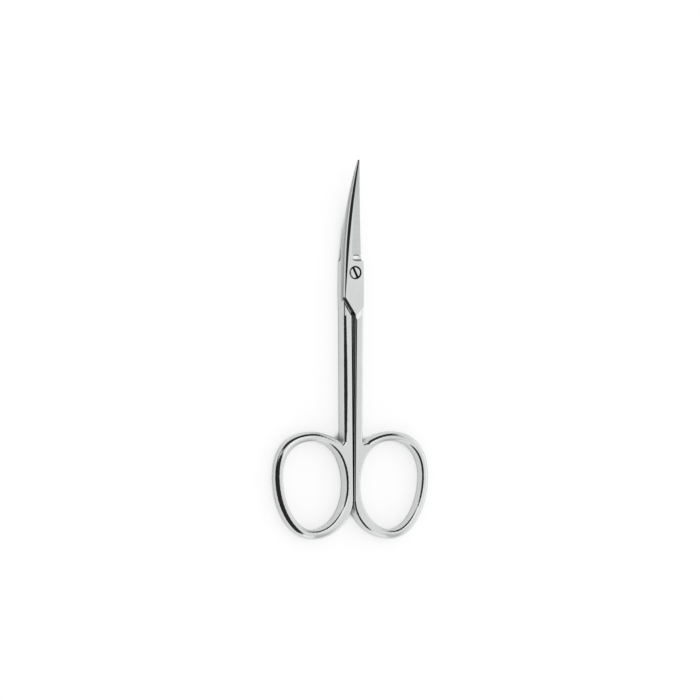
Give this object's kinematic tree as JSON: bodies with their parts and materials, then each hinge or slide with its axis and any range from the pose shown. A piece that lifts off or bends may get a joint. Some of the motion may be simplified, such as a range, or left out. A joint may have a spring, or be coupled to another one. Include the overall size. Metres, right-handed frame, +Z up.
{
  "type": "cuticle scissors",
  "caption": "Small cuticle scissors with slim curved blades, lapped at a slotted pivot screw, on straight square shanks with oval finger bows; they open and close on the screw.",
  "frame": {"origin": "under the middle of the closed pair, on the surface that the shanks rest on", "axes": "+Y from the finger bows to the blade tip, +Z up along the pivot screw to its head, +X to the front half's bow"},
  "size_m": [0.0402, 0.09, 0.0066],
  "materials": {
    "front_half": "polished nickel plate with satin-ground blade",
    "rear_half": "polished nickel plate with satin-ground blade",
    "pivot_screw": "turned and plated"
  },
  "bodies": {
    "rear": {"rear_half": "rear_half", "pivot_screw": "pivot_screw"},
    "front": {"front_half": "front_half"}
  },
  "joints": [
    {"name": "blade_pivot", "type": "hinge", "parent": "rear", "child": "front", "pos_m": [0.00045, 0.0183, 0], "axis": [0, 0, 1], "range_deg": [0, 90]}
  ]
}
